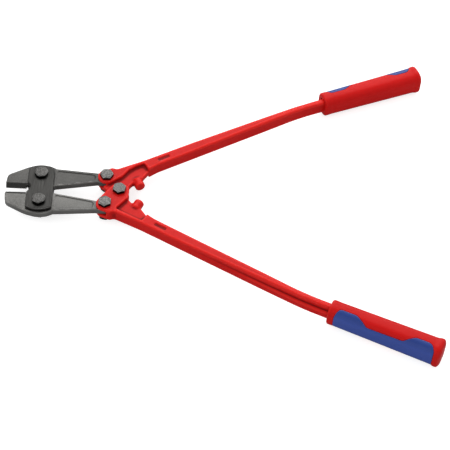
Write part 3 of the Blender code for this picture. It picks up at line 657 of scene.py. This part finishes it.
# %% forge a piece
RELIEF_REACH = 14


def forge(node, name, voxel, rounds, fillet_rounds=0, facet_rounds=0, fill=None, marks=(), reach=RELIEF_REACH):
    """A relaxed copy of a node, with its relief stored. `reach` is how wide a hollow the relief still sees."""
    piece = welded_copy(node, name)
    remesh = piece.modifiers.new("even_squares", "REMESH")
    remesh.mode = "VOXEL"
    remesh.voxel_size = voxel
    skin = Skin(baked(piece).data)
    skin.smooth(rounds)
    skin.write()
    if facet_rounds:
        relax_facets(skin, voxel, facet_rounds)
    if fillet_rounds:
        relax_hollows(skin, fillet_rounds)
    if fill:
        fill_out(skin, **fill)
    for mark in marks:
        press_recess(skin, **mark)
    skin.write()
    skin.store_relief(reach)
    size = (skin.points.max(axis=0) - skin.points.min(axis=0)) / MM
    print(name, "faces", len(piece.data.polygons), "size, mm", [round(float(v), 1) for v in size])
    return piece


print("relief is measured over", RELIEF_REACH, "rounds of softening")

# %% take a node's place
BODY_OF = {node: body for body, nodes in frame["record"]["behaviour"]["bodies"].items() for node in nodes}


def stands_for(piece, *nodes, tone=None):
    """The finer piece takes the nodes' place, body and finish, or a variant of that finish."""
    piece.data.materials.clear()
    piece.data.materials.append(made[tone or slot_of[nodes[0]]])
    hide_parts(*nodes)
    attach(piece, BODY_OF[nodes[0]])


# %% [markdown]
# ## The levers
# Each lever is one red forging from its fork at the jaws to its handle end. It is the largest piece, so its
# squares are the coarsest. Its hollow corners are wide, so they get many rounds, and the relief looks far.
# Its bar is stouter towards the grip, which the filling-out gives. A shallow stamped field lies on top of each
# bar, a little way out from the bend.

# %% the levers
LEVER_SQUARES = 0.7 * MM
BAR_ANGLE = math.radians(29.8)
MARK_ALONG = 14.0
MARK_AT = Vector((44.0 + MARK_ALONG * math.cos(BAR_ANGLE), 53.4 + MARK_ALONG * math.sin(BAR_ANGLE))) * MM
MARK_SIZES = {"half_length": 9.3 * MM, "half_width": 2.9 * MM, "corner": 2.4 * MM, "depth": 0.7 * MM,
              "soft": 0.9 * MM, "z_min": PIVOT.z + 5.0 * MM}
LEVER_REACH = 40
for side, sign in (("upper", 1), ("lower", -1)):
    mark = {"centre": (PIVOT.x + MARK_AT.x, PIVOT.y + sign * MARK_AT.y), "along": sign * BAR_ANGLE, **MARK_SIZES}
    lever = forge(side + "_handle", side + "_lever_forging", LEVER_SQUARES, 3, fillet_rounds=26, fill=BAR_FILL,
                  marks=[mark], reach=LEVER_REACH)
    stands_for(lever, side + "_handle")

# %% [markdown]
# ## The jaws
# The jaws are forged too, but their cutting faces are ground, so their edges stay sharp: small squares and one
# round of relaxing. Each jaw gets its own variant of the forged steel: the upper one darker, a painted shade, and
# the lower one lighter, a painted light.

# %% the jaws
JAW_SQUARES = 0.45 * MM
for side in ("upper", "lower"):
    jaw = forge(side + "_jaw", side + "_jaw_forging", JAW_SQUARES, 1, fillet_rounds=5)
    stands_for(jaw, side + "_jaw", tone="forged_steel_" + side)

# %% [markdown]
# ## Grips and their soft inlays
# A grip is moulded in red plastic, with a blue rubber inlay that stands in its oval opening. Both are long
# smooth curves between crisp moulded edges. The frame's curves have flat facets, so the facets are relaxed and
# the edges are left.

# %% grips and inlays
GRIP_SQUARES = 0.58 * MM
INLAY_SQUARES = 0.4 * MM
for side in ("upper", "lower"):
    grip = forge(side + "_grip", side + "_grip_moulding", GRIP_SQUARES, 5, facet_rounds=30)
    stands_for(grip, side + "_grip")
    inlay = forge(side + "_grip_inlay", side + "_soft_inlay", INLAY_SQUARES, 5, facet_rounds=40)
    stands_for(inlay, side + "_grip_inlay")

# %% [markdown]
# ## Head plates
# The two plates that join the jaws are cut from sheet, so they only need their cut edges broken: two rounds.

# %% head plates
PLATE_SQUARES = 0.4 * MM
for side in ("top", "bottom"):
    plate = forge(side + "_strap", side + "_head_plate", PLATE_SQUARES, 2)
    stands_for(plate, side + "_strap")

# %% [markdown]
# ## Bolts, nuts and washers
# All the fasteners follow one rule: a hexagon whose corners are cut by a cone, a shank and a ring. So one
# Geometry Nodes tree makes the hexagon block from a plain cylinder, by moving each point in or out along its
# radius. The radius is that of the hexagon at the point's angle, or that of the cone at its height, whichever
# is smaller, with a soft minimum that rounds the edge between them. Rows of points are drawn together near the
# top, where the cone needs them.

# %% hexagon block group
SIXTH = math.pi / 3
CORNER_ROUND = 0.3 * MM
EDGE_ROUND = 0.25 * MM
hex_tree, g_in, g_out = new_group("GeometryNodeTree", "hexagon_block", [
    ("Across Flats", "Float", 16.0 * MM), ("Height", "Float", 4.5 * MM), ("Blunt", "Float", 0.985),
    ("Crown", "Float", 0.97), ("Slope", "Float", 1.7)], [("Geometry", "Geometry")])


def calc_hex(operation, *values):
    """One Math node in the hexagon tree."""
    return calc(hex_tree, operation, *values)


block = grow(hex_tree, "GeometryNodeMeshCylinder", {"Vertices": 96, "Side Segments": 14, "Fill Segments": 5,
                                                    "Radius": 1.0, "Depth": 1.0}, fill_type="TRIANGLE_FAN")
at = grow(hex_tree, "GeometryNodeInputPosition").outputs[0]
x, y, z = grow(hex_tree, "ShaderNodeSeparateXYZ", {0: at}).outputs
from_top = calc_hex("SUBTRACT", 1.0, calc_hex("ADD", z, 0.5))
drop = calc_hex("MULTIPLY", calc_hex("POWER", from_top, 2.0), g_in["Height"])
print("the plain cylinder has", block.inputs["Vertices"].default_value, "sides")

# %% hexagon block radius
turned = calc_hex("ADD", calc_hex("ARCTAN2", y, x), SIXTH / 2)
folded = calc_hex("SUBTRACT", calc_hex("FLOORED_MODULO", turned, SIXTH), SIXTH / 2)
from_flat = calc_hex("SUBTRACT", SIXTH / 2, calc_hex("ABSOLUTE", folded))
half_flats = calc_hex("MULTIPLY", g_in["Across Flats"], 0.5)
hexagon = calc_hex("DIVIDE", half_flats, calc_hex("COSINE", from_flat))
cone = calc_hex("MULTIPLY_ADD", drop, g_in["Slope"], calc_hex("MULTIPLY", half_flats, g_in["Crown"]))
corner = calc_hex("MULTIPLY", calc_hex("DIVIDE", half_flats, math.cos(SIXTH / 2)), g_in["Blunt"])
cut = calc_hex("SMOOTH_MIN", cone, corner, CORNER_ROUND)
radius = calc_hex("SMOOTH_MIN", hexagon, cut, EDGE_ROUND)
spread = grow(hex_tree, "ShaderNodeCombineXYZ", {
    0: calc_hex("MULTIPLY", x, radius), 1: calc_hex("MULTIPLY", y, radius),
    2: calc_hex("SUBTRACT", g_in["Height"], drop)}).outputs[0]
shaped = grow(hex_tree, "GeometryNodeSetPosition", {"Geometry": block.outputs["Mesh"], "Position": spread})
hex_tree.links.new(shaped.outputs[0], g_out["Geometry"])
print(hex_tree.name, "takes", labels_of(hex_tree, "INPUT"))

# %% [markdown]
# The bolts and the nuts each get a tree of their own around that block. A tree puts one fastener on every point
# it is given, turned and made taller by two numbers stored on the point, makes the copies real and sets their
# finish, because instances don't survive an export.

# %% tools for the fastener trees


def hexagon_block(tree, sizes):
    """The block group, placed in another tree with its own sizes."""
    return grow(tree, "GeometryNodeGroup", sizes, node_tree=hex_tree).outputs[0]


def upright(tree, z):
    """A vector that points up by z."""
    return grow(tree, "ShaderNodeCombineXYZ", {2: z}).outputs[0]


def moved_up(tree, geometry, z):
    """The geometry moved up by z, or down where z is negative."""
    return grow(tree, "GeometryNodeTransform", {"Geometry": geometry, "Translation": upright(tree, z)}).outputs[0]


def join_all(tree, *parts):
    """One geometry from several."""
    joined = tree.nodes.new("GeometryNodeJoinGeometry")
    for part in reversed(parts):
        tree.links.new(part, joined.inputs[0])
    return joined.outputs[0]


def stored(tree, label):
    """A number stored on each point."""
    return grow(tree, "GeometryNodeInputNamedAttribute", {"Name": label}, data_type="FLOAT").outputs[0]


def at_points(tree, points, item, taller=True):
    """Puts an item on each point, turned and, unless told otherwise, made taller, and makes the copies real."""
    scale = grow(tree, "ShaderNodeCombineXYZ", {0: 1.0, 1: 1.0, 2: stored(tree, "height") if taller else 1.0})
    copies = grow(tree, "GeometryNodeInstanceOnPoints", {
        "Points": points, "Instance": item, "Rotation": upright(tree, stored(tree, "turn")),
        "Scale": scale.outputs[0]}).outputs[0]
    return grow(tree, "GeometryNodeRealizeInstances", {0: copies}).outputs[0]


def finished(tree, geometry, material, result):
    """Sets the finish and ends the tree."""
    last = grow(tree, "GeometryNodeSetMaterial", {"Geometry": geometry, "Material": material}).outputs[0]
    tree.links.new(last, result)
    print(tree.name, "takes", labels_of(tree, "INPUT"))


print("bolts and nuts are built around", hex_tree.name)

# %% bolt tree
SHANK_SIDES = 48
bolt_tree, g_in, g_out = new_group("GeometryNodeTree", "hex_bolts", [
    ("Geometry", "Geometry", None), ("Across Flats", "Float", 16.0 * MM), ("Head Height", "Float", 4.5 * MM),
    ("Blunt", "Float", 0.985), ("Crown", "Float", 0.97), ("Shank Radius", "Float", 5.0 * MM),
    ("Shank Length", "Float", 26.0 * MM), ("Tip", "Float", 0.6 * MM), ("Steel", "Material", None)],
    [("Geometry", "Geometry")])
head = hexagon_block(bolt_tree, {"Across Flats": g_in["Across Flats"], "Height": g_in["Head Height"],
                                 "Blunt": g_in["Blunt"], "Crown": g_in["Crown"]})
straight = calc(bolt_tree, "SUBTRACT", g_in["Shank Length"], g_in["Tip"])
shank = grow(bolt_tree, "GeometryNodeMeshCylinder", {
    "Vertices": SHANK_SIDES, "Side Segments": 1, "Fill Segments": 1, "Radius": g_in["Shank Radius"],
    "Depth": straight}, fill_type="TRIANGLE_FAN").outputs["Mesh"]
shank = moved_up(bolt_tree, shank, calc(bolt_tree, "MULTIPLY", straight, -0.5))
tip = grow(bolt_tree, "GeometryNodeMeshCone", {
    "Vertices": SHANK_SIDES, "Radius Bottom": calc(bolt_tree, "SUBTRACT", g_in["Shank Radius"], g_in["Tip"]),
    "Radius Top": g_in["Shank Radius"], "Depth": g_in["Tip"]}, fill_type="TRIANGLE_FAN").outputs["Mesh"]
tip = moved_up(bolt_tree, tip, calc(bolt_tree, "MULTIPLY", g_in["Shank Length"], -1.0))
heads = at_points(bolt_tree, g_in["Geometry"], head)
shanks = at_points(bolt_tree, g_in["Geometry"], join_all(bolt_tree, shank, tip), taller=False)
finished(bolt_tree, join_all(bolt_tree, heads, shanks), g_in["Steel"], g_out["Geometry"])

# %% nut and washer tree
WASHER_ROUND = 0.2 * MM
nut_tree, g_in, g_out = new_group("GeometryNodeTree", "nuts_and_washers", [
    ("Geometry", "Geometry", None), ("Across Flats", "Float", 16.0 * MM), ("Nut Height", "Float", 5.6 * MM),
    ("Washer Radius", "Float", 9.6 * MM), ("Washer Bore", "Float", 5.3 * MM),
    ("Washer Thickness", "Float", 1.0 * MM), ("Gap", "Float", 0.3 * MM), ("Black", "Material", None)],
    [("Geometry", "Geometry")])
nut = hexagon_block(nut_tree, {"Across Flats": g_in["Across Flats"], "Height": g_in["Nut Height"],
                               "Blunt": 0.985, "Crown": 0.99})
nut = grow(nut_tree, "GeometryNodeTransform", {"Geometry": nut, "Rotation": (math.pi, 0.0, 0.0)}).outputs[0]
under_washer = calc(nut_tree, "ADD", g_in["Washer Thickness"], g_in["Gap"])
nut = moved_up(nut_tree, nut, calc(nut_tree, "MULTIPLY", under_washer, -1.0))
outline = grow(nut_tree, "GeometryNodeCurvePrimitiveQuadrilateral", {
    "Width": calc(nut_tree, "SUBTRACT", g_in["Washer Radius"], g_in["Washer Bore"]),
    "Height": g_in["Washer Thickness"]}).outputs[0]
outline = grow(nut_tree, "GeometryNodeFilletCurve", {"Curve": outline, "Count": 3, "Radius": WASHER_ROUND},
               mode="POLY").outputs[0]
both_radii = calc(nut_tree, "ADD", g_in["Washer Radius"], g_in["Washer Bore"])
circle = grow(nut_tree, "GeometryNodeCurvePrimitiveCircle", {
    "Resolution": 72, "Radius": calc(nut_tree, "MULTIPLY", both_radii, 0.5)}).outputs[0]
ring = grow(nut_tree, "GeometryNodeCurveToMesh", {"Curve": circle, "Profile Curve": outline}).outputs[0]
ring = moved_up(nut_tree, ring, calc(nut_tree, "MULTIPLY", g_in["Washer Thickness"], -0.5))
nuts = at_points(nut_tree, g_in["Geometry"], join_all(nut_tree, nut, ring))
finished(nut_tree, nuts, g_in["Black"], g_out["Geometry"])

# %% [markdown]
# The trees run on a few loose points, one for each fastener, which carry how far it is turned and how tall it
# is compared with the first. All the bolts of one moving body become one plain mesh. The faces that meet at more
# than a set angle are marked sharp, so that the flats stay flat and the rounded corners shade smoothly.

# %% run a fastener tree
FASTENER_WELD = 0.0005 * MM
SHARP_FROM = math.radians(32)


def run_tree(name, tree, points, turns, heights, values):
    """The plain mesh that a tree makes on some points."""
    mesh = bpy.data.meshes.new(name)
    mesh.from_pydata([tuple(p) for p in points], [], [])
    for label, numbers in (("turn", turns), ("height", heights)):
        mesh.attributes.new(label, "FLOAT", "POINT").data.foreach_set("value", numbers)
    piece = in_scene(name, mesh)
    modifier = piece.modifiers.new(name, "NODES")
    modifier.node_group = tree
    names = {item.name: item.identifier for item in tree.interface.items_tree if item.in_out == "INPUT"}
    for label, value in values.items():
        modifier[names[label]] = value
    baked(piece)
    tidied(piece.data, FASTENER_WELD, outwards=True)
    piece.data.set_sharp_from_angle(angle=SHARP_FROM)
    print(name, "on", len(points), "points, faces", len(piece.data.polygons))
    return piece


def top_of(node):
    """The middle of a node's top."""
    lo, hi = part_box(node)
    middle = (lo + hi) / 2
    return Vector((middle.x, middle.y, hi.z))


print("seat of the centre bolt, mm", [round(v / MM, 1) for v in top_of("centre_bolt")])

# %% [markdown]
# Every bolt's place comes from the frame's own bolt: its axis, its top and its lower end. The head plate bolts
# are larger across the flats and blunter than those of the levers. Each bolt was left at its own angle when it
# was tightened, and its nut at another.

# %% bolts, nuts and washers
FASTENERS = {
    # body: name, across flats in mm, blunt corners, [(fastener, turn in radians, head height in mm)]
    "head_plates": ("head_plate", 17.0, 0.91, [("upper_strap", 0.15, 3.8), ("lower_strap", 0.5, 3.8)]),
    "upper_lever": ("upper_lever", 16.0, 0.985, [("upper_fork", 0.03, 4.4)]),
    "lower_lever": ("lower_lever", 16.0, 0.985, [("lower_fork", 0.5, 4.4), ("centre", 0.35, 4.9)]),
}
BOLT_SIZES = {"Crown": 0.95, "Shank Radius": 5.0 * MM, "Tip": 0.6 * MM}
NUT_SIZES = {"Nut Height": 5.6 * MM, "Washer Radius": 9.6 * MM, "Washer Bore": 5.3 * MM,
             "Washer Thickness": 1.0 * MM, "Gap": 0.3 * MM, "Black": made["black_fastener"]}
NUT_TURN = 0.3
for label, flats, blunt, members in FASTENERS.values():
    bolts_of, turns, tall = zip(*members)
    seats = [top_of(one + "_bolt") - Vector((0, 0, height * MM)) for one, height in zip(bolts_of, tall)]
    shank_length = min(seat.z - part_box(one + "_bolt")[0].z for seat, one in zip(seats, bolts_of))
    bolts = run_tree(label + "_bolts", bolt_tree, seats, turns, [height / tall[0] for height in tall],
                     {"Across Flats": flats * MM, "Head Height": tall[0] * MM, "Blunt": blunt,
                      "Shank Length": shank_length, "Steel": made[label + "_bolt_steel"], **BOLT_SIZES})
    stands_for(bolts, *[one + "_bolt" for one in bolts_of], tone=label + "_bolt_steel")
    nuts = run_tree(label + "_nuts", nut_tree, [top_of(one + "_washer") for one in bolts_of],
                    [turn + NUT_TURN for turn in turns], [1.0] * len(members),
                    {"Across Flats": flats * MM, **NUT_SIZES})
    stands_for(nuts, *[one + kind for one in bolts_of for kind in ("_nut", "_washer")])
